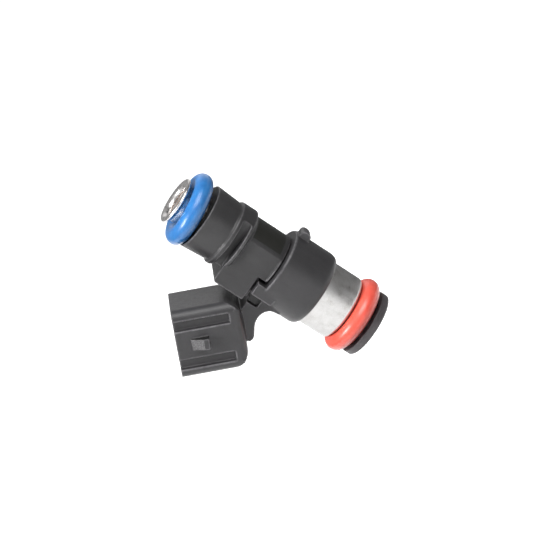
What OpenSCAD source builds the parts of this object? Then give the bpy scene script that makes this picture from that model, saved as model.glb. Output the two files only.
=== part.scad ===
// Port fuel injector, short body, with a two-way electrical socket at 45 degrees.
// The axis of the injector is Z, the fuel inlet is at the top, the nozzle face is at z = 0,
// and the socket reaches out along -X.

/* [Seals] */
// Height of the lower O-ring's centre above the nozzle face
low_ring_z = 4.0; // [3.9:0.1:4.2]
// Distance between the centres of the two O-rings
ring_spacing = 38.0; // [37.9:0.1:38.1]
// Distance the upper O-ring has slid down from its working place
ring_slid = 0.5; // [0:0.1:0.5]
// Thickness of both O-rings
ring_wire = 3.53; // [3.3:0.01:3.6]
// Inner diameter of the upper O-ring
up_ring_id = 7.52; // [7.5:0.02:7.6]
// Inner diameter of the lower O-ring as fitted
low_ring_id = 8.2; // [8.18:0.02:8.3]

/* [Plastic covers] */
// Radius of the sleeve round the coil
sleeve_r = 7.5; // [7.3:0.1:7.6]
// Radius of the clip collar
collar_r = 6.6; // [6.5:0.05:6.7]
// Radius of the barrel between the collar and the coil sleeve
barrel_r = 5.82; // [5.7:0.02:5.9]
// Radius of the seal shoulder at its top
shoulder_r = 6.55; // [6.4:0.05:6.6]
// Height of the retaining clip's slot
slot_h = 1.75; // [1.6:0.05:1.8]

/* [Socket] */
// Angle between the socket and the injector's axis
socket_tilt = 45; // [44:1:46]
// Width of the socket, across the injector
socket_w = 12.8; // [12.6:0.1:13]
// Height of the socket, in the plane of the injector's axis
socket_h = 13.4; // [13.2:0.1:13.6]
// Length of the socket's shell
socket_len = 13.1; // [12.9:0.1:13.3]
// Depth of the cavity
cavity_depth = 10.2; // [9.8:0.1:10.2]
// Distance between the two terminal blades
blade_pitch = 4.5; // [4.2:0.1:4.6]

/* [Valve] */
// Travel of the valve
lift = 0.1; // [0.06:0.01:0.12]
// Radius of the valve ball
ball_r = 1.25; // [1.2:0.01:1.3]
// Turns of the return spring
spring_turns = 7; // [6:1:8]

/* [Hidden] */

$fn = 96;
fit = 0.02;            // clearance between pieces that are pressed or moulded together
slide_fit = 0.04;      // radial clearance of the sliding valve

// Heights along the axis, from the nozzle face up.
tip_h = 1.6;
housing_bottom = 5.9;
sleeve_bottom = 12.6;
coil_bottom = 9.6;
coil_top = 19.9;
washer_z = 20.5;
washer_h = 0.9;
sleeve_top = 22.15;
tooth_top = 23.8;
barrel_bottom = 22.4;
spigot_r = 5.35;
block_bottom = 24.35;
block_top = 31.0;
flange_top = 33.9;
shoulder_z = 39.25;
inlet_top = 44.9;
up_ring_z = low_ring_z + ring_spacing - ring_slid;

// Steel parts.
tube_r = up_ring_id / 2 - fit;
tube_bore = 2.8;
inlet_bore = 3.05;
inlet_bore_z = 43.65;
lip_r = 4.7;
lip_round = 0.38;
lip_inner = 0.4;
lip_neck_z = 43.55;
lip_neck_round = 0.55;
tube_bottom = 20.9;
housing_r = 6.45;
housing_bore = 5.85;
body_r = low_ring_id / 2 - fit;
body_bore = 2.6;

// Socket: its mouth's centre and wall sizes.
mouth = [-22.1, 0, 29.3];
socket_round = 2.0;
cavity_h = 10.4;
cavity_w = 9.6;
rail_x = 3.83;
rail_w = 1.9;
rail_depth = 1.1;
rail_len = 10.7;
back_round = 3.4;
side_round = 1.6;

// Retaining slot and the flats beside it.
slot_flat = 4.3;
panel_y = 5.0;
panel_top = 30.1;
panel_front = 3.0;
panel_back = 3.4;

// Block that carries the socket.
block_y = 5.2;
block_end = 7.83;
tooth_y = 6.3;
tooth_x0 = 3.2;
tooth_x1 = 5.7;
neck_y = 4.0;
arm_bottom = 19.4;
neck_top = 22.9;
pocket_end = 7.9;
pocket_depth = 0.8;
pocket_bottom = 20.8;

// Points of an arc, from angle a0 to a1.
function arc(cx, cy, r, a0, a1, n = 8) =
  [for (i = [0:n]) let (a = a0 + (a1 - a0) * i / n) [cx + r * cos(a), cy + r * sin(a)]];

module ring(r1, r2, z0, z1) {
  difference() {
    translate([0, 0, z0]) cylinder(r = r2, h = z1 - z0);
    translate([0, 0, z0 - 1]) cylinder(r = r1, h = z1 - z0 + 2);
  }
}

module bar(x0, x1, y0, y1, z0, z1) {
  translate([x0, y0, z0]) cube([x1 - x0, y1 - y0, z1 - z0]);
}

// Everything in this module's children is drawn in the socket's own frame:
// +Z out of the mouth, +X towards the inlet, Y across the injector.
module at_socket() {
  translate(mouth) rotate([0, -socket_tilt, 0]) children();
}

// Bar along Z with round corners, h along X and w along Y.
module rounded_bar(h, w, r, z0, z1) {
  translate([0, 0, z0]) linear_extrude(height = z1 - z0) {
    square([h - 2 * r, w], center = true);
    square([h, w - 2 * r], center = true);
    for (sx = [-1, 1], sy = [-1, 1])
      translate([sx * (h / 2 - r), sy * (w / 2 - r)]) circle(r = r);
  }
}

// Slab whose outline, across its thickness, is a bar with two round corners at its lower end.
module round_ended_slab(wide, thick, r, z0, z1) {
  rotate([90, 0, 0]) translate([0, 0, -thick / 2]) linear_extrude(height = thick) {
    translate([-wide / 2, z0 + r]) square([wide, z1 - z0 - r]);
    translate([-wide / 2 + r, z0]) square([wide - 2 * r, r + 1]);
    for (s = [-1, 1]) translate([s * (wide / 2 - r), z0 + r]) circle(r = r);
  }
}

// ---- Fuel group -------------------------------------------------------------------------------

module inlet_tube() color("silver") {
  rotate_extrude() polygon(concat(
    [[tube_bore, tube_bottom], [tube_r - 0.3, tube_bottom], [tube_r, tube_bottom + 0.4]],
    arc(tube_r + lip_neck_round, lip_neck_z, lip_neck_round, 180, 95, 5),
    arc(lip_r - lip_round, inlet_top - lip_round, lip_round, -80, 90),
    arc(inlet_bore + lip_inner, inlet_top - 0.05 - lip_inner, lip_inner, 90, 180),
    [[inlet_bore, inlet_bore_z], [tube_bore, inlet_bore_z - 0.2]]
  ));
}

filter_top = 43.4;
filter_bottom = 33.0;
filter_r = tube_bore - fit;

module filter_frame() color("tan") {
  ribs = 4;
  ring(1.9, filter_r, filter_top - 2.2, filter_top);
  ring(0.6, 2.0, filter_bottom, filter_bottom + 0.8);
  translate([0, 0, filter_bottom]) cylinder(r = 1.2, h = 0.8);
  for (i = [0:ribs - 1]) rotate([0, 0, 45 + i * 360 / ribs])
    bar(1.62, 2.1, -0.3, 0.3, filter_bottom + 0.4, filter_top - 2.0);
}

module filter_mesh() color("ivory") {
  ring(1.45, 1.62 - fit, filter_bottom + 0.8 + fit, filter_top - 2.2 - fit);
}

module pole_piece() color("gray") {
  difference() {
    union() {
      translate([0, 0, 14.62]) cylinder(r = body_bore - fit, h = 5.9);
      translate([0, 0, 20.5]) cylinder(r = tube_bore - fit, h = 4);
    }
    translate([0, 0, 14]) cylinder(r = 1.4, h = 12);
  }
}

module calibration_sleeve() color("silver") {
  difference() {
    ring(0.9, 1.4 - fit, 18.6, 23.4);
    bar(0.5, 2, -0.2, 0.2, 18, 24);
  }
}

// Spring: one wire swept along a helix, closed at each end by a flat cap.
spring_r = 1.05;
spring_wire = 0.16;
spring_z0 = 13.4;
spring_z1 = 18.5;
spring_steps = 16;
spring_sides = 8;

module return_spring() color("lightgray") {
  count = spring_turns * spring_steps;
  rise = spring_z1 - spring_z0 - 2 * spring_wire;
  points = [for (i = [0:count], j = [0:spring_sides - 1])
    let (a = 360 * i / spring_steps, b = 360 * j / spring_sides,
         r = spring_r + spring_wire * cos(b))
    [r * cos(a), r * sin(a), spring_z0 + spring_wire + rise * i / count + spring_wire * sin(b)]];
  sides = [for (i = [0:count - 1], j = [0:spring_sides - 1])
    let (k = (j + 1) % spring_sides)
    each [[i * spring_sides + j, (i + 1) * spring_sides + j, i * spring_sides + k],
          [i * spring_sides + k, (i + 1) * spring_sides + j, (i + 1) * spring_sides + k]]];
  caps = [[for (j = [0:spring_sides - 1]) j],
          [for (j = [spring_sides - 1:-1:0]) count * spring_sides + j]];
  polyhedron(points = points, faces = concat(sides, caps), convexity = 10);
}

// ---- Valve ------------------------------------------------------------------------------------

seat_top = 4.1;
seat_bottom = 1.9;
seat_angle = 45;
ball_z = 4.05;
stem_r = 0.9;
armature_z0 = 9.2;
armature_z1 = 14.62 - lift - 0.02;

module armature() color("dimgray") {
  difference() {
    translate([0, 0, armature_z0]) cylinder(r = body_bore - slide_fit, h = armature_z1 - armature_z0);
    translate([0, 0, armature_z0 - 1]) cylinder(r = stem_r + fit, h = 4.4);
    translate([0, 0, 12]) cylinder(r = 0.7, h = 4);
    translate([0, 0, spring_z0 - fit]) cylinder(r = 1.4, h = 3);
    for (i = [0:3]) rotate([0, 0, 45 + i * 90])
      translate([1.85, 0, armature_z0 - 1]) cylinder(r = 0.35, h = 8);
  }
}

module valve_stem() color("silver") {
  difference() {
    translate([0, 0, ball_z + 0.7]) cylinder(r = stem_r, h = 12.4 - ball_z - 0.7 - 0.1);
    translate([0, 0, ball_z + 0.5]) cylinder(r = 0.55, h = 10);
    translate([0, 0, ball_z]) sphere(r = ball_r + fit);
    for (z = [6.4, 8.0]) translate([-2, 0, z]) rotate([0, 90, 0]) cylinder(r = 0.3, h = 4);
  }
}

module valve_ball() color("white") {
  translate([0, 0, ball_z]) sphere(r = ball_r);
}

module guide_disc() color("silver") {
  difference() {
    ring(ball_r + slide_fit, body_bore - fit, seat_top + fit, seat_top + 0.6);
    for (i = [0:4]) rotate([0, 0, i * 72]) translate([1.95, 0, 3]) cylinder(r = 0.35, h = 4);
  }
}

module valve_seat() color("gainsboro") {
  // The cone touches the ball at 45 degrees, and stops short of it by the running gap.
  gap = 0.015;
  throat = 0.5;
  cone_z = ball_z - (ball_r + gap) / cos(seat_angle);
  rotate_extrude() polygon([
    [throat, seat_bottom], [body_bore - fit, seat_bottom], [body_bore - fit, seat_top],
    [seat_top - cone_z, seat_top], [throat, cone_z + throat]
  ]);
}

module director_plate() color("silver") {
  holes = 4;
  difference() {
    translate([0, 0, 1.62]) cylinder(r = body_bore - fit, h = seat_bottom - 1.62 - fit);
    for (i = [0:holes - 1]) rotate([0, 0, i * 360 / holes])
      translate([0.3, 0, 1]) cylinder(r = 0.12, h = 2);
  }
}

module valve_body() color("darkgray") {
  difference() {
    union() {
      translate([0, 0, 0.9]) cylinder(r = body_r, h = 8.0);
      translate([0, 0, 8.9]) cylinder(r = 3.4, h = 2.6);
    }
    translate([0, 0, 1.6]) cylinder(r = body_bore, h = 12);
    translate([0, 0, 0]) cylinder(r = 1.9, h = 3);
  }
}

module nonmagnetic_sleeve() color("silver") {
  ring(body_bore, 3.4, 11.5 + fit, 20.5 - fit);
}

// ---- Power group ------------------------------------------------------------------------------

module steel_housing() color("silver") {
  edge = 1.0;
  rotate_extrude() polygon(concat(
    [[body_r + fit, housing_bottom + 0.1], [5.2, housing_bottom]],
    arc(housing_r - edge, housing_bottom + edge, edge, -90, 0),
    [[housing_r, washer_z - fit], [housing_bore, washer_z - fit], [housing_bore, coil_bottom - fit],
     [3.5, coil_bottom - fit], [3.5, 8.9 + fit], [body_r + fit, 8.9 + fit]]
  ));
}

module flux_washer() color("gray") {
  difference() {
    ring(tube_r + fit, housing_r, washer_z, washer_z + washer_h);
    bar(-8, -4.3, -2.6, 2.6, washer_z - 1, washer_z + 2);
  }
}

module coil_bobbin() color("darkslategray") {
  inner = 3.45;
  ring(inner, 3.95, coil_bottom, coil_top + 0.5);
  ring(inner, housing_bore - fit, coil_bottom, coil_bottom + 0.7);
  ring(inner, housing_bore - fit, coil_top - 0.2, coil_top + 0.5);
}

module coil_winding() color("peru") {
  layer = 0.28;
  turns = 31;
  z0 = coil_bottom + 0.75;
  pitch = (coil_top - 0.25 - z0) / turns;
  rotate_extrude() polygon(concat(
    [[3.95 + fit, z0]],
    [for (i = [0:turns - 1]) each
      [[5.45, z0 + i * pitch], [5.45 + layer, z0 + (i + 0.5) * pitch]]],
    [[5.45, z0 + turns * pitch], [3.95 + fit, z0 + turns * pitch]]
  ));
}

// Terminals: strips bent from one sheet. side is 1 for the blade nearer the inlet.
strip_w = 1.2;
strip_t = 0.6;
blade_w = 1.5;
blade_top = -2.5;
post_x = -4.9;
run_z = 22.3;

module terminal_shape(side, grow = 0) {
  y = side * 1.5;
  hw = strip_w / 2 + grow;
  // Blade, in the socket's frame.
  at_socket() translate([side * blade_pitch / 2, 0, 0]) {
    bar(-blade_w / 2 - grow, blade_w / 2 + grow, -strip_t / 2 - grow, strip_t / 2 + grow,
        -11.9, blade_top - 0.7);
    translate([0, strip_t / 2 + grow, blade_top - 0.7]) rotate([90, 0, 0])
      linear_extrude(height = strip_t + 2 * grow)
        polygon([[-blade_w / 2, -0.01], [blade_w / 2, -0.01], [0.4, 0.7], [-0.4, 0.7]]);
  }
  z = side > 0 ? run_z : 19.9;
  end = side > 0 ? -12.6 : -15.4;
  turn = -9.6;
  // Run to the coil, with the cross-over to the blade at its outer end.
  bar(end - grow, turn + grow, y - hw, y + hw, z - grow, z + strip_t + grow);
  top = run_z + strip_t + grow;
  bar(end - grow, end + strip_w + grow, min(-strip_t / 2 - grow, y - hw), max(strip_t / 2 + grow, y + hw),
      z - grow, z + strip_t + grow);
  bar(turn - strip_t - grow, turn + grow, y - hw, y + hw, z - grow, top);
  bar(turn - strip_t - grow, post_x + strip_t / 2 + grow, y - hw, y + hw, run_z - grow, top);
  bar(post_x - strip_t / 2 - grow, post_x + strip_t / 2 + grow, y - hw, y + hw, coil_top + 0.5 + fit, top);
}

module terminal_upper() color("gold") terminal_shape(1);
module terminal_lower() color("gold") terminal_shape(-1);

// ---- Covers -----------------------------------------------------------------------------------

module upper_cover() color([0.16, 0.16, 0.17]) {
  edge = 0.5;
  difference() {
    union() {
      // Shoulder under the seal, clip collar and barrel, in one turn.
      rotate_extrude() polygon(concat(
        [[0, barrel_bottom], [barrel_r, barrel_bottom], [barrel_r, 29.9],
         [collar_r - 0.25, 30.25], [collar_r, 30.5], [collar_r, 33.3]],
        arc(collar_r - 0.35, 33.35, 0.35, 0, 70, 4),
        [[6.12, 34.0], [shoulder_r, shoulder_z - edge]],
        arc(shoulder_r - edge, shoulder_z - edge, edge, 5, 90, 6),
        [[0, shoulder_z]]
      ));
      // Block over the socket's arm.
      bar(-block_end, -2.4, -block_y, block_y, block_bottom, block_top);
      // Spigots that stand on the coil cover and leave a shadow gap round the joint.
      translate([0, 0, sleeve_top + fit]) cylinder(r = spigot_r, h = barrel_bottom - sleeve_top);
      bar(-block_end + 0.7, -2.6, -block_y + 0.7, block_y - 0.7, tooth_top + fit, block_bottom + 0.1);
    }
    // Bore, cut again through the block.
    translate([0, 0, 15]) cylinder(r = tube_r + fit, h = 30);
    // Room for the coil cover's tooth.
    bar(-9, -2.5, -7, 7, sleeve_top - 1, tooth_top + fit);
    // Above the tooth only the spigot is left on the socket's side.
    for (s = [-1, 1]) bar(-9, -2.5, s > 0 ? block_y - 0.7 : -7, s > 0 ? 7 : -block_y + 0.7, 23, block_bottom);
    bar(-9, -block_end + 0.7, -7, 7, 23, block_bottom);
    // Clip slot, open towards the socket and closed at the back.
    difference() {
      bar(-9, 9, -9, 9, block_top, block_top + slot_h);
      bar(-slot_flat - 0.6, 9, -slot_flat, slot_flat, block_top - 1, block_top + slot_h + 1);
    }
    // Flat panels on both sides of the barrel.
    for (s = [-1, 1])
      bar(-panel_front, panel_back, s > 0 ? panel_y : -9, s > 0 ? 9 : -panel_y,
          barrel_bottom + 0.35, panel_top);
  }
}

module socket_shell() {
  difference() {
    union() {
      intersection() {
        rounded_bar(socket_h, socket_w, socket_round, -socket_len, 0);
        round_ended_slab(socket_h, socket_w + 1, back_round, -socket_len, 1);
        rotate([0, 0, 90]) round_ended_slab(socket_w, socket_h + 1, side_round, -socket_len, 1);
      }
      // Latch nib: a ramp for the plug's latch, with a square back.
      translate([1.13, -socket_w / 2 + 0.05, 0]) rotate([0, -90, 0]) linear_extrude(height = 2.26)
        polygon([[-2.9, 0], [-5.2, -1.5], [-6.3, -1.5], [-6.3, 0.1], [-2.9, 0.1]]);
    }
    // Grooves for the plug's rails, on both wide sides.
    for (sx = [-1, 1], sy = [-1, 1])
      bar(sx * rail_x - rail_w / 2, sx * rail_x + rail_w / 2,
          sy > 0 ? socket_w / 2 - rail_depth : -socket_w / 2 - 1,
          sy > 0 ? socket_w / 2 + 1 : -socket_w / 2 + rail_depth, -rail_len, 1);
  }
}

module coil_cover() color([0.18, 0.18, 0.19]) {
  edge = 0.9;
  difference() {
    union() {
      // Sleeve round the coil.
      rotate_extrude() polygon(concat(
        [[0, sleeve_bottom]],
        arc(sleeve_r - edge, sleeve_bottom + edge, edge, -90, 0),
        [[sleeve_r, sleeve_top - 0.3], [sleeve_r - 0.25, sleeve_top], [0, sleeve_top]]
      ));
      // Tooth that interlocks with the upper cover, and the arm behind it.
      bar(-tooth_x1, -tooth_x0, -tooth_y, tooth_y, arm_bottom, tooth_top);
      bar(-13.2, -tooth_x0, -neck_y, neck_y, arm_bottom, neck_top + 0.1);
      bar(-13.4, -11.6, -neck_y, neck_y, 18.0, neck_top);
      // Lug that stops the injector from turning, at the back of the sleeve.
      bar(5.5, 8.9, -1.5, 1.5, 19.6, 21.75);
      at_socket() socket_shell();
    }
    // Pocket on each side of the neck, beside the tooth.
    for (s = [-1, 1])
      bar(-pocket_end, -tooth_x1, s > 0 ? neck_y - pocket_depth : -neck_y - 1,
          s > 0 ? neck_y + 1 : -neck_y + pocket_depth, pocket_bottom, neck_top + 1);
    // Cavity of the socket.
    at_socket() rounded_bar(cavity_h, cavity_w, 1.2, -cavity_depth, 5);
    // Channels of the two terminals.
    for (s = [-1, 1]) terminal_shape(s, fit);
    // Room for the steel housing, the flux washer and the tube.
    translate([0, 0, 5]) cylinder(r = housing_r + fit, h = washer_z + washer_h + fit - 5);
    translate([0, 0, 15]) cylinder(r = tube_r + fit, h = 30);
  }
}

module tip_retainer() color([0.14, 0.14, 0.15]) {
  edge = 0.45;
  rotate_extrude() polygon(concat(
    [[2.6, 0], [6.1, 0]],
    arc(shoulder_r - edge, edge, edge, -90, 0),
    [[shoulder_r, tip_h - 0.1], [shoulder_r - 0.1, tip_h], [body_r + fit, tip_h],
     [body_r + fit, 0.9 - fit], [2.6, 0.9 - fit]]
  ));
}

module o_ring(id, z) {
  translate([0, 0, z]) rotate_extrude() translate([(id + ring_wire) / 2, 0]) circle(d = ring_wire);
}

module upper_o_ring() color([0.1, 0.4, 0.8]) o_ring(up_ring_id, up_ring_z);
module lower_o_ring() color([0.95, 0.35, 0.28]) o_ring(low_ring_id, low_ring_z);

inlet_tube();
filter_frame();
filter_mesh();
upper_o_ring();
upper_cover();
coil_cover();
steel_housing();
flux_washer();
coil_bobbin();
coil_winding();
terminal_upper();
terminal_lower();
pole_piece();
calibration_sleeve();
return_spring();
armature();
valve_stem();
valve_ball();
guide_disc();
valve_seat();
director_plate();
valve_body();
nonmagnetic_sleeve();
lower_o_ring();
tip_retainer();
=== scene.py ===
import math

import bmesh
import bpy
from mathutils import Matrix, Vector


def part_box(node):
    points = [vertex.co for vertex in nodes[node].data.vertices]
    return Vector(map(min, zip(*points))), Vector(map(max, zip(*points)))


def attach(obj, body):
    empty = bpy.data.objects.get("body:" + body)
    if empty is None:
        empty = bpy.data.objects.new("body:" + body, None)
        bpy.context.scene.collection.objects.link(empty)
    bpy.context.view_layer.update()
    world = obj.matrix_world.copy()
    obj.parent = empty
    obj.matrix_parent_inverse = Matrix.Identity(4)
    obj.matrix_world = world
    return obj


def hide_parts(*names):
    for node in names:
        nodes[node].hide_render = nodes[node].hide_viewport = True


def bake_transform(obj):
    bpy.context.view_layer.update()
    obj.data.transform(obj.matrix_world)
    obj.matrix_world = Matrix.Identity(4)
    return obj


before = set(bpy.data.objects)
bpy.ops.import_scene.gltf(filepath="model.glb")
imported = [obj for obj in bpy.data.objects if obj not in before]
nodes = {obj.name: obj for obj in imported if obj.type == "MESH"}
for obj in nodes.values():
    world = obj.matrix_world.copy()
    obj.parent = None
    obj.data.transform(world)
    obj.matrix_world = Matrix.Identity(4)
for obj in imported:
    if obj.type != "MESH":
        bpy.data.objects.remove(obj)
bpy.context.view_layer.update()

MM = 0.001

# ---- Inlet tube ---------------------------------------------------------------------------------
# Stainless tube, deep-drawn and polished. Its top is rolled outwards into a lip that keeps the
# seal on, and the covers are moulded round its lower half.
TURN_STEPS = 160
TUBE_R = 3.74
TUBE_BORE = 2.8
INLET_BORE = 3.05
LIP_R = 4.7
LIP_TOP = 44.9
LIP_ROUND = 0.38
LIP_INNER = 1.15
LIP_DEEP = 1.1


def arc(centre, radius, start, end, steps=8, stretch=1.0):
    """Points of an arc in the (radius, height) plane; stretch makes it taller than it is wide."""
    turn = [math.radians(start + (end - start) * i / steps) for i in range(steps + 1)]
    return [(centre[0] + radius * math.cos(a), centre[1] + radius * stretch * math.sin(a)) for a in turn]


def new_object(name, bm):
    mesh = bpy.data.meshes.new(name)
    bm.to_mesh(mesh)
    bm.free()
    obj = bpy.data.objects.new(name, mesh)
    bpy.context.scene.collection.objects.link(obj)
    return obj


def turned(name, outline, steps=TURN_STEPS):
    """A closed outline of (radius, height) points in millimetres, turned round the injector's axis."""
    bm = bmesh.new()
    rings = []
    for r, z in outline:
        if r < 1e-6:
            rings.append([bm.verts.new((0, 0, z))])
        else:
            rings.append([bm.verts.new((r * math.cos(a), r * math.sin(a), z))
                          for a in (2 * math.pi * i / steps for i in range(steps))])
    for here, above in zip(rings, rings[1:] + rings[:1]):
        for i in range(steps):
            k = (i + 1) % steps
            corners = [here[i % len(here)], here[k % len(here)],
                       above[k % len(above)], above[i % len(above)]]
            corners = list(dict.fromkeys(corners))
            if len(corners) > 2:
                bm.faces.new(corners)
    bmesh.ops.recalc_face_normals(bm, faces=bm.faces)
    return new_object(name, bm)


def settle(obj, material, slot, *stands_for, body="injector", crease=35):
    """Scales a finished piece from millimetres to metres, smooths its shading and fixes it to its body."""
    obj.data.transform(Matrix.Scale(MM, 4))
    obj.data.materials.clear()
    obj.data.materials.append(material)
    if crease:
        obj.data.shade_smooth()
        obj.data.set_sharp_from_angle(angle=math.radians(crease))
    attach(obj, body)
    if stands_for:
        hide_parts(*stands_for)
    return obj


class Finish:
    """A material built up on one Principled shader, in the object's own coordinates in millimetres."""

    def __init__(self, name, **sockets):
        self.material = bpy.data.materials.new(name)
        self.material.use_nodes = True
        self.nodes = self.material.node_tree.nodes
        self.links = self.material.node_tree.links
        self.shader = self.nodes["Principled BSDF"]
        for socket, value in sockets.items():
            self.shader.inputs[socket.replace("_", " ")].default_value = value
        self.place = self.nodes.new("ShaderNodeVectorMath")
        self.place.operation = "SCALE"
        self.place.inputs["Scale"].default_value = 1 / MM
        self.links.new(self.nodes.new("ShaderNodeTexCoord").outputs["Object"], self.place.inputs[0])

    def stretched(self, scale):
        node = self.nodes.new("ShaderNodeMapping")
        node.inputs["Scale"].default_value = scale
        self.links.new(self.place.outputs[0], node.inputs["Vector"])
        return node.outputs[0]

    def noise(self, per_mm, detail=3, stretch=None, rough=0.55):
        node = self.nodes.new("ShaderNodeTexNoise")
        node.inputs["Scale"].default_value = per_mm
        node.inputs["Detail"].default_value = detail
        node.inputs["Roughness"].default_value = rough
        self.links.new(self.stretched(stretch) if stretch else self.place.outputs[0], node.inputs["Vector"])
        return node.outputs["Fac"]

    def ramp(self, factor, *stops):
        """stops are (position, value) or (position, (r, g, b))."""
        node = self.nodes.new("ShaderNodeValToRGB")
        stop = node.color_ramp.elements
        while len(stop) < len(stops):
            stop.new(0.5)
        for element, (position, value) in zip(stop, stops):
            element.position = position
            colour = (value, value, value) if isinstance(value, (int, float)) else value
            element.color = (*colour, 1)
        self.links.new(factor, node.inputs["Fac"])
        return node.outputs["Color"]

    def blend(self, factor, a, b, how="MIX"):
        node = self.nodes.new("ShaderNodeMix")
        node.data_type = "RGBA"
        node.blend_type = how
        for key, value in (("Factor", factor), ("A", a), ("B", b)):
            socket = next(s for s in node.inputs if s.name == key and (key == "Factor" or s.type == "RGBA"))
            if isinstance(value, bpy.types.NodeSocket):
                self.links.new(value, socket)
            else:
                socket.default_value = value if key == "Factor" else (*value, 1)
        return next(s for s in node.outputs if s.type == "RGBA")

    def math(self, how, *values):
        node = self.nodes.new("ShaderNodeMath")
        node.operation = how
        for socket, value in zip(node.inputs, values):
            if isinstance(value, bpy.types.NodeSocket):
                self.links.new(value, socket)
            else:
                socket.default_value = value
        return node.outputs[0]

    def axes(self):
        node = self.nodes.new("ShaderNodeSeparateXYZ")
        self.links.new(self.place.outputs[0], node.inputs[0])
        return node.outputs

    def bump(self, height, depth_mm, strength=1.0):
        node = self.nodes.new("ShaderNodeBump")
        node.inputs["Distance"].default_value = depth_mm * MM
        node.inputs["Strength"].default_value = strength
        self.links.new(height, node.inputs["Height"])
        if self.shader.inputs["Normal"].links:
            self.links.new(self.shader.inputs["Normal"].links[0].from_socket, node.inputs["Normal"])
        self.links.new(node.outputs["Normal"], self.shader.inputs["Normal"])

    def feed(self, socket, value):
        self.links.new(value, self.shader.inputs[socket])


def polished_steel(name="polished_stainless", tint=(0.74, 0.72, 0.71), low=0.20, high=0.34):
    """Drawn and tumbled stainless: faint turning lines, small scuffs, a warm bloom here and there."""
    f = Finish(name, Metallic=1.0, IOR=2.5)
    lines = f.noise(1.0, 4, stretch=(0.25, 0.25, 9.0))
    scuffs = f.noise(1.1, 5)
    f.feed("Roughness", f.ramp(f.blend(0.5, lines, scuffs), (0.35, low), (0.65, high)))
    dull = tuple(0.80 * c for c in tint)
    f.feed("Base Color", f.ramp(scuffs, (0.30, dull), (0.62, tint)))
    f.bump(lines, 0.002)
    f.bump(scuffs, 0.003)
    return f.material


stainless = polished_steel()
tube = turned("inlet_tube_skin", [
    (TUBE_BORE, 20.9), (3.44, 20.9), (3.62, 21.0), (TUBE_R, 21.3), (TUBE_R, 43.2),
    *arc((TUBE_R + 0.55, 43.55), 0.55, 180, 95, 6),
    *arc((LIP_R - LIP_ROUND, LIP_TOP - LIP_ROUND), LIP_ROUND, -80, 90, 12),
    *arc((INLET_BORE + LIP_INNER, LIP_TOP - LIP_DEEP), LIP_INNER, 80, 180, 14, stretch=LIP_DEEP / LIP_INNER),
    (INLET_BORE, 43.65), (TUBE_BORE, 43.45),
])
settle(tube, stainless, "polished_steel", "inlet_tube", crease=50)

# ---- Inlet filter -------------------------------------------------------------------------------
# A moulded nylon cage with a woven gauze on it, pushed into the tube from above. Its rim is seen
# down in the bore.


def moulded_nylon(name, colour):
    f = Finish(name, IOR=1.53)
    cloud = f.noise(0.9, 4)
    grain = f.noise(14.0, 3)
    dark = tuple(0.80 * c for c in colour)
    light = tuple(1.12 * c for c in colour)
    f.feed("Base Color", f.ramp(cloud, (0.32, dark), (0.68, light)))
    f.feed("Roughness", f.ramp(f.noise(3.0, 5), (0.3, 0.36), (0.7, 0.56)))
    f.bump(grain, 0.006)
    f.bump(cloud, 0.02)
    return f.material


def dress(node, material):
    """Gives a CAD piece its finish. Its shape stays as it is."""
    nodes[node].data.materials.clear()
    nodes[node].data.materials.append(material)


gauze = Finish("nylon_gauze", Roughness=0.7)
x, y, z = gauze.axes()
angle = gauze.math("ARCTAN2", y, x)
warp = gauze.math("SINE", gauze.math("MULTIPLY", angle, 96.0))
weft = gauze.math("SINE", gauze.math("MULTIPLY", z, 60.0))
weave = gauze.math("MAXIMUM", warp, weft)
gauze.feed("Base Color", gauze.ramp(weave, (0.0, (0.20, 0.17, 0.12)), (0.7, (0.78, 0.73, 0.62))))
gauze.bump(weave, 0.03)
dress("filter_mesh", gauze.material)
dress("filter_frame", moulded_nylon("tan_nylon", (0.30, 0.17, 0.09)))

# ---- Solenoid -----------------------------------------------------------------------------------
# Enamelled copper on a nylon bobbin, between the valve body and a slotted iron washer. The steel
# shell round it closes the magnetic path, and the plain sleeve inside keeps the flux out.


def machined_steel(name, tint, low, high, lines_per_mm=10.0):
    """Turned magnetic steel: tool lines round the axis, with a little oil staining."""
    f = Finish(name, Metallic=1.0)
    lines = f.noise(1.0, 3, stretch=(0.15, 0.15, lines_per_mm))
    stain = f.noise(0.7, 5)
    f.feed("Roughness", f.ramp(lines, (0.35, low), (0.65, high)))
    f.feed("Base Color", f.ramp(stain, (0.30, tuple(0.72 * c for c in tint)), (0.60, tint)))
    f.bump(lines, 0.008)
    return f.material


magnetic_steel = machined_steel("magnetic_steel", (0.50, 0.50, 0.51), 0.28, 0.44)
copper = Finish("enamelled_copper", Metallic=1.0, Coat_Weight=0.6, Coat_Roughness=0.12)
strands = copper.noise(1.0, 2, stretch=(0.2, 0.2, 7.0))
copper.feed("Base Color", copper.ramp(strands, (0.3, (0.42, 0.13, 0.04)), (0.7, (0.80, 0.36, 0.16))))
copper.feed("Roughness", copper.ramp(strands, (0.3, 0.22), (0.7, 0.38)))
copper.bump(strands, 0.02)
dress("coil_winding", copper.material)
dress("coil_bobbin", moulded_nylon("bobbin_nylon", (0.045, 0.045, 0.05)))
for node in ("flux_washer", "pole_piece"):
    dress(node, magnetic_steel)
for node in ("nonmagnetic_sleeve", "calibration_sleeve"):
    dress(node, stainless)

tin = Finish("tinned_brass", Metallic=1.0)
grain = tin.noise(1.6, 5, stretch=(1.0, 6.0, 1.0))
tin.feed("Base Color", tin.ramp(grain, (0.32, (0.62, 0.58, 0.50)), (0.6, (0.80, 0.79, 0.76))))
tin.feed("Roughness", tin.ramp(tin.noise(4.0, 4), (0.3, 0.20), (0.7, 0.42)))
tin.bump(grain, 0.006)
for node in ("terminal_upper", "terminal_lower"):
    dress(node, tin.material)

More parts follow.
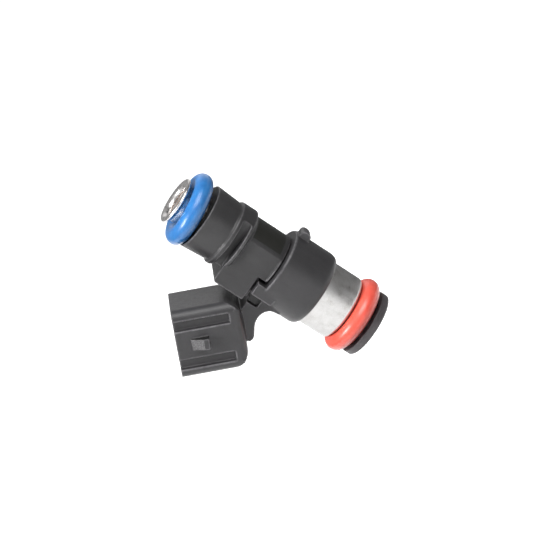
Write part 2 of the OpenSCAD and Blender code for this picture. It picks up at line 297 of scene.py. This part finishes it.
# ---- Valve --------------------------------------------------------------------------------------
# Armature, hollow stem and ball, welded into one, closed by a wire spring and lifted by the coil.
# The ball sits in the cone of the seat, under a drilled guide, over the spray plate.
for node in ("valve_stem", "guide_disc", "valve_seat", "director_plate"):
    dress(node, stainless)
dress("armature", magnetic_steel)
dress("valve_ball", polished_steel("lapped_ball", (0.84, 0.84, 0.85), 0.03, 0.07))

# The spring is a coiled wire, a copy of the CAD piece with a finish of its own; the CAD piece is hidden.
spring = nodes["return_spring"].copy()
spring.data = nodes["return_spring"].data.copy()
spring.name = "return_spring_wire"
spring.parent = None
spring.data.transform(nodes["return_spring"].matrix_world)
spring.matrix_world = Matrix.Identity(4)
bpy.context.scene.collection.objects.link(spring)
spring.data.materials.clear()
spring.data.materials.append(machined_steel("spring_wire", (0.60, 0.60, 0.62), 0.20, 0.34, 2.0))
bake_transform(spring)
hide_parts("return_spring")
dress("valve_body", machined_steel("valve_body_steel", (0.66, 0.66, 0.67), 0.24, 0.40))

# ---- Steel housing ------------------------------------------------------------------------------
# Drawn stainless shell over the coil, the part that shows between the coil cover and the lower
# seal. It is satin, with fine lines round it, and is rolled in at its lower end.
HOUSING_R = 6.45
HOUSING_BOTTOM = 5.9


def satin_steel():
    f = Finish("satin_stainless", Metallic=1.0, Anisotropic=0.35)
    hair = f.noise(1.0, 5, stretch=(0.35, 0.35, 14.0), rough=0.65)
    smear = f.noise(0.55, 5, rough=0.6)
    pits = f.noise(9.0, 4, rough=0.7)
    wear = f.blend(0.5, smear, pits)
    f.feed("Base Color", f.ramp(wear, (0.34, (0.33, 0.32, 0.31)), (0.52, (0.47, 0.465, 0.46)),
                                (0.70, (0.54, 0.54, 0.54))))
    f.feed("Roughness", f.ramp(f.blend(0.5, smear, hair), (0.34, 0.25), (0.62, 0.44)))
    f.bump(hair, 0.010)
    f.bump(pits, 0.006)
    return f.material


housing = turned("steel_housing_skin", [
    (4.10, HOUSING_BOTTOM + 0.10), (5.25, HOUSING_BOTTOM),
    *arc((HOUSING_R - 0.95, HOUSING_BOTTOM + 0.95), 0.95, -90, 0, 10),
    (HOUSING_R, 9.0), (HOUSING_R, 15.0), (HOUSING_R, 20.48),
    (5.85, 20.48), (5.85, 9.58), (3.5, 9.58), (3.5, 8.92), (4.10, 8.92),
])
settle(housing, satin_steel(), "brushed_steel", "steel_housing")

# ---- Black covers -------------------------------------------------------------------------------
# Two shots of glass-filled nylon. The lower one is moulded round the coil with the socket and its
# arm, the upper one round the tube above it, and a shadow gap steps round the joint between them.
VOXEL = 0.14
ROUNDING = 3
WEAR_AND_HIGHLIGHT_STEPS = 12
FLAT_ANGLE = 0.4
FLAT_LEVEL = 0.003


def prism(name, outline, thick, axis="Y"):
    """An outline of (x, z) points, extruded evenly to both sides of the X-Z plane."""
    bm = bmesh.new()
    near = [bm.verts.new((x, -thick / 2, z)) for x, z in outline]
    far = [bm.verts.new((x, thick / 2, z)) for x, z in outline]
    bm.faces.new(near)
    bm.faces.new(far[::-1])
    for i in range(len(outline)):
        k = (i + 1) % len(outline)
        bm.faces.new((near[i], far[i], far[k], near[k]))
    bmesh.ops.recalc_face_normals(bm, faces=bm.faces)
    obj = new_object(name, bm)
    if axis == "X":
        obj.data.transform(Matrix.Rotation(math.radians(90), 4, "Z"))
    return obj


def block(x, y, z):
    """A plain block between the two values of x, y and z."""
    bm = bmesh.new()
    bmesh.ops.create_cube(bm, size=1)
    size = Matrix.Diagonal((x[1] - x[0], y[1] - y[0], z[1] - z[0], 1))
    middle = Matrix.Translation(((x[0] + x[1]) / 2, (y[0] + y[1]) / 2, (z[0] + z[1]) / 2))
    bm.transform(middle @ size)
    return new_object("block", bm)


def rod(radius, low, high, at=(0, 0)):
    obj = turned("rod", [(0, low), (radius, low), (radius, high), (0, high)], 96)
    obj.data.transform(Matrix.Translation((*at, 0)))
    return obj


def combine(obj, others, how):
    """Adds, cuts or intersects the others with obj, and clears them away."""
    for other in others:
        step = obj.modifiers.new(how.lower(), "BOOLEAN")
        step.operation = how
        step.solver = "EXACT"
        step.object = other
        bake_modifiers(obj)
        bpy.data.objects.remove(other)
    return obj


def bake_modifiers(obj):
    shaped = bpy.data.meshes.new_from_object(obj.evaluated_get(bpy.context.evaluated_depsgraph_get()))
    obj.modifiers.clear()
    obj.data = shaped


def smoothed(obj, steps):
    soften = obj.modifiers.new("soften", "SMOOTH")
    soften.factor = 0.5
    soften.iterations = steps
    bake_modifiers(obj)


def moulded(obj):
    """Rounds every edge and corner of a shape a little, as a mould does, and notes how proud each point
    stands of its surroundings, which is where hands and tools rub it and where a painted highlight lightens
    the edges."""
    skin = obj.modifiers.new("skin", "REMESH")
    skin.mode = "VOXEL"
    skin.voxel_size = VOXEL
    bake_modifiers(obj)
    smoothed(obj, ROUNDING)
    smoothed_copy = obj.copy()
    smoothed_copy.data = obj.data.copy()
    bpy.context.scene.collection.objects.link(smoothed_copy)
    smoothed(smoothed_copy, WEAR_AND_HIGHLIGHT_STEPS)
    proud = obj.data.attributes.new("proud", "FLOAT", "POINT")
    for point, before, after in zip(proud.data, obj.data.vertices, smoothed_copy.data.vertices):
        point.value = (before.co - after.co).dot(before.normal)
    bpy.data.objects.remove(smoothed_copy)
    level = [abs(point.value) > FLAT_LEVEL for point in proud.data]
    zone = [int(any(level[k] for k in face.vertices)) for face in obj.data.polygons]
    obj.data.polygons.foreach_set("material_index", zone)
    flats = obj.modifiers.new("flats", "DECIMATE")
    flats.decimate_type = "DISSOLVE"
    flats.delimit = {"MATERIAL"}
    flats.angle_limit = math.radians(FLAT_ANGLE)
    bake_modifiers(obj)
    obj.data.polygons.foreach_set("material_index", [0] * len(obj.data.polygons))
    obj.data.shade_smooth()
    obj.modifiers.new("even", "WEIGHTED_NORMAL")
    bake_modifiers(obj)
    return obj


def black_nylon(name, tone):
    """Glass-filled nylon: soft satin, a faint flow pattern and fine glass grain, with edges lightened as
    wear and painted highlight.
    """
    f = Finish(name, IOR=1.53, Specular_IOR_Level=0.36)
    flow = f.noise(0.35, 4, stretch=(1.0, 1.0, 0.45))
    grain = f.noise(9.0, 4, rough=0.65)
    rub_and_sheen = f.noise(1.5, 6, rough=0.68)
    base = f.ramp(flow, (0.30, tuple(0.84 * c for c in tone)), (0.70, tuple(1.15 * c for c in tone)))
    base = f.blend(f.ramp(grain, (0.42, 0.0), (0.66, 0.22)), base, tuple(2.0 * c for c in tone))
    edge = f.nodes.new("ShaderNodeAttribute")
    edge.attribute_name = "proud"
    # Painted highlight: proud edges are lightened, partly as wear and partly standing in for light caught on
    # the edges.
    edge_wear_and_highlight = f.ramp(f.math("MULTIPLY", edge.outputs["Fac"], 20.0), (0.20, 0.0), (0.66, 1.0))
    base = f.blend(f.math("MULTIPLY", edge_wear_and_highlight, f.ramp(rub_and_sheen, (0.34, 0.25), (0.60, 0.9))), base,
                   tuple(4.4 * c for c in tone))
    f.feed("Roughness", f.ramp(f.blend(0.5, rub_and_sheen, grain), (0.34, 0.30), (0.66, 0.50)))
    f.bump(grain, 0.010)
    f.bump(flow, 0.03)
    return f, base


# Upper cover: seal shoulder, clip collar, barrel with a flat each side, block over the arm. A plain
# darker patch goes round the back of the barrel, and the top face under the seal is painted dark as painted
# shade.
SHOULDER_TOP = 39.25
SHOULDER_R = 6.55
COLLAR_R = 6.6
BARREL_R = 5.82
SLOT = (31.0, 32.75)
SLOT_FLAT = 4.3
SLOT_FRONT = -4.9
PANEL_X = (-3.0, 3.4)
PATCH_X = 3.35
PATCH_Z = (23.45, 29.6)
WIDE = 9
BLOCK_Y = 5.2
BLOCK_X = 7.83
BLOCK_BOTTOM = 24.35
BLOCK_TOP = 31.0
BARREL_BOTTOM = 22.4
PANEL_TOP = 30.1
TOOTH_TOP = 23.8
SLEEVE_TOP = 22.15
TUBE_CLEAR = 3.76

upper = turned("upper_cover_skin", [
    (0, BARREL_BOTTOM), (BARREL_R, BARREL_BOTTOM), (BARREL_R, 29.9), (6.2, 30.15), (COLLAR_R - 0.08, 30.35),
    (COLLAR_R, 30.5), (COLLAR_R, 33.3), *arc((COLLAR_R - 0.3, 33.4), 0.3, 0, 80, 5), (6.18, 33.95),
    (SHOULDER_R, SHOULDER_TOP - 0.12), (SHOULDER_R - 0.12, SHOULDER_TOP), (0, SHOULDER_TOP),
])
arm_cap = prism("arm_cap", [(-BLOCK_X, BLOCK_BOTTOM), (-BLOCK_X, BLOCK_TOP - 0.4),
                            (-BLOCK_X + 0.4, BLOCK_TOP), (-2.4, BLOCK_TOP), (-2.4, BLOCK_BOTTOM)],
                2 * BLOCK_Y)
combine(upper, [arm_cap, rod(5.35, SLEEVE_TOP + 0.02, 23.0)], "UNION")
spigot = block((-7.1, -2.4), (-4.5, 4.5), (TOOTH_TOP + 0.02, BLOCK_BOTTOM + 0.1))
slot_core = block((SLOT_FRONT, WIDE + 0.5), (-SLOT_FLAT, SLOT_FLAT), (30, 33))
slot_ring = combine(block((-WIDE, WIDE), (-WIDE, WIDE), SLOT), [slot_core], "DIFFERENCE")
panels = [block(PANEL_X, side, (BARREL_BOTTOM + 0.35, PANEL_TOP))
          for side in ((BLOCK_Y, WIDE), (-WIDE, -BLOCK_Y))]
combine(upper, [block((-9, -2.5), (-7, 7), (21, BLOCK_BOTTOM)), slot_ring, *panels], "DIFFERENCE")
combine(upper, [spigot], "UNION")
combine(upper, [rod(TUBE_CLEAR, 15, 45)], "DIFFERENCE")
moulded(upper)

nylon, base = black_nylon("black_nylon_upper", (0.0335, 0.0327, 0.034))
x, y, z = nylon.axes()
round_back = nylon.math("GREATER_THAN", x, PATCH_X)
in_height = nylon.math("MULTIPLY", nylon.math("GREATER_THAN", z, PATCH_Z[0]),
                       nylon.math("LESS_THAN", z, PATCH_Z[1]))
patch = nylon.math("MULTIPLY", round_back, in_height)
# Painted shade: the shoulder's top face under the seal is painted as dark as the patch.
dark = nylon.math("MAXIMUM", patch, nylon.math("GREATER_THAN", z, SHOULDER_TOP - 0.03))
base = nylon.blend(dark, base, (0.016, 0.016, 0.014))
nylon.feed("Base Color", base)
settle(upper, nylon.material, "black_plastic", "upper_cover", crease=0)

# Coil cover: sleeve with an anti-turn lug at the back, interlocking tooth, arm and socket.
SLEEVE_R = 7.5
SLEEVE_BOTTOM = 12.6
MOUTH = Vector((-22.1, 0, 29.3))
SOCKET_H = 13.4
SOCKET_W = 12.8
SOCKET_L = 13.1
NIB_TOP = 5.3
NIB_HALF = 1.13
NIB_BACK = -12.0
GROOVE_AT = 3.83
GROOVE_HALF = 0.95
GROOVE_DEEP = 1.1
GROOVE_END = -10.7
ARM_W = 8.0
POCKET_X = (-7.9, -5.7)
POCKET_Y = (3.2, 5.0)
POCKET_Z = (20.8, 24.5)
in_socket = Matrix.Translation(MOUTH) @ Matrix.Rotation(math.radians(-45), 4, "Y")


def rounded_outline(width, low, high, radius_low, radius_high=0.0, steps=8):
    """A rectangle across X, with its lower and upper corners rounded."""
    half = width / 2
    points = []
    for side, height, radius, start in ((-1, low, radius_low, 180), (1, low, radius_low, 270),
                                        (1, high, radius_high, 0), (-1, high, radius_high, 90)):
        if radius:
            up = 1 if height == low else -1
            centre = (side * (half - radius), height + up * radius)
            points += arc(centre, radius, start, start + 90, steps)
        else:
            points.append((side * half, height))
    return points


def socket_body():
    """The socket in its own frame: Z out of the mouth, X towards the inlet."""
    shell = prism("shell", rounded_outline(SOCKET_H, -SOCKET_L, 0, 3.6), SOCKET_W)
    across = prism("across", rounded_outline(SOCKET_W, -SOCKET_L, 0, 1.7), SOCKET_H + 1, "X")
    around = prism("around", rounded_outline(SOCKET_H, -SOCKET_W / 2, SOCKET_W / 2, 1.9, 1.9), 40)
    around.data.transform(Matrix.Rotation(math.radians(90), 4, "X"))
    combine(shell, [across, around], "INTERSECT")
    side_view = [(-2.9, -0.4), (-2.9, 0.35), (-NIB_TOP, 1.5), (-6.3, 1.5), (-6.3, -0.4)]
    nib = prism("nib", side_view, 2 * NIB_HALF)
    nib.data.transform(Matrix(((0, 1, 0, 0), (0, 0, -1, -SOCKET_W / 2), (1, 0, 0, 0), (0, 0, 0, 1))))
    combine(shell, [nib], "UNION")
    floor_y = SOCKET_W / 2 - GROOVE_DEEP
    cuts = [block((side * GROOVE_AT - GROOVE_HALF, side * GROOVE_AT + GROOVE_HALF), face, (GROOVE_END, 1))
            for side in (-1, 1) for face in ((floor_y, 8), (-8, -floor_y))]
    cavity = prism("cavity", rounded_outline(10.4, -4.8, 4.8, 1.2, 1.2), 30)
    cavity.data.transform(Matrix.Translation((0, 0, 4.8)) @ Matrix.Rotation(math.radians(90), 4, "X"))
    combine(shell, [*cuts, cavity], "DIFFERENCE")
    shell.data.transform(in_socket)
    return shell


cover = turned("coil_cover_skin", [
    (0, SLEEVE_BOTTOM), *arc((SLEEVE_R - 0.85, SLEEVE_BOTTOM + 1.4), 0.85, -90, 0, 8, stretch=1.65),
    (SLEEVE_R, SLEEVE_TOP - 0.25), (SLEEVE_R - 0.2, SLEEVE_TOP), (0, SLEEVE_TOP),
])
tooth = block((-5.7, -3.2), (-6.3, 6.3), (19.4, TOOTH_TOP))
arm = prism("arm", [(-3.2, 16.5), (-3.2, TOOTH_TOP), (-6.4, TOOTH_TOP), (-7.2, 23.0), (-11.0, 23.0),
                    (-14.5, 20.0), (-14.2, 17.9), (-13.5, 17.65), (-12.9, 17.8), (-12.0, 18.35),
                    (-11.2, 18.9), (-10.4, 19.25), (-9.4, 19.4), (-8.6, 19.3), (-7.9, 19.0),
                    (-7.2, 18.4), (-6.9, 17.6), (-6.8, 16.5)], ARM_W)
lug = prism("lug", [(6.0, 19.6), (6.0, 21.75), (8.35, 21.75), (8.7, 21.5), (8.88, 21.1), (8.88, 20.4),
                    (8.7, 19.95), (8.3, 19.6)], 3.0)
combine(cover, [tooth, arm, lug, socket_body()], "UNION")
pockets = [block(POCKET_X, side, POCKET_Z) for side in (POCKET_Y, (-POCKET_Y[1], -POCKET_Y[0]))]
combine(cover, [*pockets, rod(6.47, 5, 21.42), rod(TUBE_CLEAR, 15, 40)], "DIFFERENCE")
moulded(cover)
nylon, base = black_nylon("black_nylon_lower", (0.037, 0.036, 0.038))
x, y, z = nylon.axes()


def all_of(finish, *tests):
    """One where every test holds, and nought elsewhere."""
    held = tests[0]
    for test in tests[1:]:
        held = finish.math("MULTIPLY", held, test)
    return held


# The latch nib's ramp has a spark-eroded texture. Its side and the pockets are painted near-black as painted
# shade.
DIAGONAL = math.sqrt(0.5)
from_mouth = nylon.math("MULTIPLY", nylon.math("SUBTRACT", z, x), DIAGONAL)
across = nylon.math("MULTIPLY", nylon.math("ADD", x, z), DIAGONAL)
ramp_end = (MOUTH.z - MOUTH.x) * DIAGONAL - NIB_TOP
nib_edge = (MOUTH.x + MOUTH.z) * DIAGONAL + NIB_HALF - 0.1
over_socket = nylon.math("LESS_THAN", x, NIB_BACK)
on_nib = all_of(nylon, nylon.math("GREATER_THAN", from_mouth, ramp_end),
                nylon.math("LESS_THAN", y, -SOCKET_W / 2 - 0.25), over_socket)
nib_side_painted_shade = all_of(nylon, nylon.math("GREATER_THAN", across, nib_edge),
                  nylon.math("LESS_THAN", y, -SOCKET_W / 2 - 0.06), over_socket)
depth = nylon.math("ABSOLUTE", y)
pocket_painted_shade = all_of(nylon, nylon.math("LESS_THAN", depth, ARM_W / 2 - 0.08),
                   nylon.math("GREATER_THAN", depth, POCKET_Y[0] - 0.2),
                   nylon.math("LESS_THAN", x, POCKET_X[1] + 0.05),
                   nylon.math("GREATER_THAN", x, POCKET_X[0] - 0.05),
                   nylon.math("GREATER_THAN", z, POCKET_Z[0] - 0.05))
sparks = nylon.noise(6.0, 4, rough=0.7)
spark_tone = nylon.ramp(sparks, (0.40, (0.05, 0.05, 0.052)), (0.60, (0.19, 0.185, 0.19)))
base = nylon.blend(on_nib, base, spark_tone)
# Painted shade: the nib's side and the pockets are painted near-black.
base = nylon.blend(nylon.math("MAXIMUM", nib_side_painted_shade, pocket_painted_shade), base, (0.011, 0.011, 0.011))
nylon.feed("Base Color", base)
nylon.bump(nylon.math("MULTIPLY", on_nib, sparks), 0.12)
settle(cover, nylon.material, "black_plastic_socket", "coil_cover", crease=0)

# ---- Seals --------------------------------------------------------------------------------------
# Two moulded rubber O-rings, blue to the fuel rail and red to the manifold, lightly oiled. The
# blue one sits a little askew on the tube, pushed down on the socket's side.
RING_WIRE = 3.53


def rubber(name, colour, deep):
    f = Finish(name, IOR=1.5, Coat_Weight=0.5, Coat_Roughness=0.30, Specular_IOR_Level=0.5)
    f.shader.inputs["Subsurface Weight"].default_value = 0.12
    f.shader.inputs["Subsurface Radius"].default_value = (0.6 * MM, 0.4 * MM, 0.4 * MM)
    bloom = f.noise(0.8, 5)
    f.feed("Base Color", f.ramp(bloom, (0.30, deep), (0.66, colour)))
    f.feed("Roughness", f.ramp(f.noise(3.5, 5), (0.3, 0.26), (0.7, 0.46)))
    f.bump(f.noise(7.0, 4), 0.006)
    return f.material


def o_ring(name, node, material, slot, tilt=0.0):
    low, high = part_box(node)
    middle, reach = (low.z + high.z) / 2 / MM, high.x / MM
    ring = turned(name, arc((reach - RING_WIRE / 2, 0), RING_WIRE / 2, 0, 360 - 7.5, 47))
    ring.data.transform(Matrix.Translation((0, 0, middle)) @ Matrix.Rotation(math.radians(tilt), 4, "Y"))
    return settle(ring, material, slot, node, crease=80)


o_ring("upper_seal", "upper_o_ring", rubber("blue_rubber", (0.024, 0.215, 0.57), (0.016, 0.16, 0.47)),
       "blue_rubber", tilt=-5.5)
o_ring("lower_seal", "lower_o_ring", rubber("red_rubber", (0.96, 0.125, 0.082), (0.86, 0.095, 0.060)),
       "red_rubber")

# ---- Tip retainer -------------------------------------------------------------------------------
# Nylon ring snapped over the end of the valve body. It keeps the lower seal on and guides the tip
# into the manifold.
TIP_R = 6.55
TIP_H = 1.6
tip = turned("tip_retainer_skin", [
    (2.6, 0.12), (2.72, 0.0), (6.0, 0.0), *arc((TIP_R - 0.45, 0.45), 0.45, -80, 0, 8),
    *arc((TIP_R - 0.12, TIP_H - 0.12), 0.12, 0, 90, 4), (4.10, TIP_H), (4.10, 0.88), (2.6, 0.88),
])
settle(tip, moulded_nylon("tip_nylon", (0.050, 0.044, 0.047)), "tip_plastic", "tip_retainer")

# ---- Studio -------------------------------------------------------------------------------------
# A pale floor well below the part, a soft world that darkens on one side, and four soft lights.
FLOOR_Z = -0.034
LOOK_AT = Vector((-0.0017, 0.0, 0.02065))
BACK = Vector((0.243, -0.937, 0.250)).normalized()
SIDE = Vector((0.578, -0.067, -0.813))
DISTANCE = 0.76

bm = bmesh.new()
bmesh.ops.create_grid(bm, x_segments=1, y_segments=1, size=6.0)
bm.transform(Matrix.Translation((0, 0, FLOOR_Z)))
floor = new_object("floor", bm)
paper = Finish("white_paper", Roughness=0.9, Emission_Strength=0.56)
paper.shader.inputs["Base Color"].default_value = (0.90, 0.90, 0.90, 1)
paper.shader.inputs["Emission Color"].default_value = (1, 1, 1, 1)
floor.data.materials.append(paper.material)
floor.visible_diffuse = False

camera = bpy.data.objects.new("camera", bpy.data.cameras.new("camera"))
camera.data.lens = 265
camera.data.sensor_width = 36
camera.data.clip_start = 0.01
camera.data.clip_end = 30
side = (SIDE - SIDE.dot(BACK) * BACK).normalized()
up = BACK.cross(side)
camera.matrix_world = Matrix((
    (side.x, up.x, BACK.x, 0), (side.y, up.y, BACK.y, 0), (side.z, up.z, BACK.z, 0), (0, 0, 0, 1)))
camera.location = LOOK_AT + DISTANCE * BACK
bpy.context.scene.collection.objects.link(camera)
bpy.context.scene.camera = camera


def softbox(name, direction, distance, size, watts):
    """An area light that faces the middle of the part, from a direction in the part's frame."""
    data = bpy.data.lights.new(name, "AREA")
    data.shape = "DISK"
    data.size = size
    data.energy = watts
    lamp = bpy.data.objects.new(name, data)
    away = Vector(direction).normalized()
    lamp.location = LOOK_AT + distance * away
    lamp.rotation_euler = away.to_track_quat("Z", "Y").to_euler()
    bpy.context.scene.collection.objects.link(lamp)


softbox("key", (-0.55, -0.45, 0.80), 0.7, 0.24, 4.6)
softbox("fill", (-0.9, -0.5, -0.05), 0.7, 0.40, 0.35)
softbox("top", (0.56, -0.42, 0.58), 0.7, 0.55, 4.6)
softbox("back", (0.25, 0.94, 0.25), 0.7, 0.5, 0.4)

# A dark flag stands beside the part. Only reflections show it: it shapes the steel and the satin
# plastic.
FLAG_R = 0.085
FLAG_TOP = 0.03
FLAG_STEPS = 24
FLAG_FROM = -56
FLAG_SWEEP = 160
bm = bmesh.new()
posts = []
for i in range(FLAG_STEPS + 1):
    turn = math.radians(FLAG_FROM + FLAG_SWEEP * i / FLAG_STEPS)
    foot = (FLAG_R * math.cos(turn), FLAG_R * math.sin(turn))
    posts.append([bm.verts.new((*foot, z)) for z in (FLOOR_Z, FLAG_TOP)])
for left, right in zip(posts, posts[1:]):
    bm.faces.new((left[0], right[0], right[1], left[1]))
flag = new_object("flag", bm)
cloth = Finish("black_cloth", Base_Color=(0.20, 0.20, 0.20, 1), Roughness=1.0)
flag.data.materials.append(cloth.material)
flag.visible_camera = False
flag.visible_diffuse = False
flag.visible_shadow = False

world = bpy.data.worlds.new("studio")
bpy.context.scene.world = world
world.use_nodes = True
sky = world.node_tree
where = sky.nodes.new("ShaderNodeTexCoord")
toward = sky.nodes.new("ShaderNodeVectorMath")
toward.operation = "DOT_PRODUCT"
toward.inputs[1].default_value = (0.70, 0.05, -0.40)
shade = sky.nodes.new("ShaderNodeValToRGB")
shade.color_ramp.elements[0].position = 0.0
shade.color_ramp.elements[0].color = (1.0, 1.0, 1.0, 1)
shade.color_ramp.elements[1].position = 0.75
shade.color_ramp.elements[1].color = (0.06, 0.06, 0.065, 1)
sky.links.new(where.outputs["Generated"], toward.inputs[0])
sky.links.new(toward.outputs["Value"], shade.inputs["Fac"])
sky.links.new(shade.outputs["Color"], sky.nodes["Background"].inputs["Color"])
sky.nodes["Background"].inputs["Strength"].default_value = 0.36
bpy.context.scene.view_settings.view_transform = "Standard"
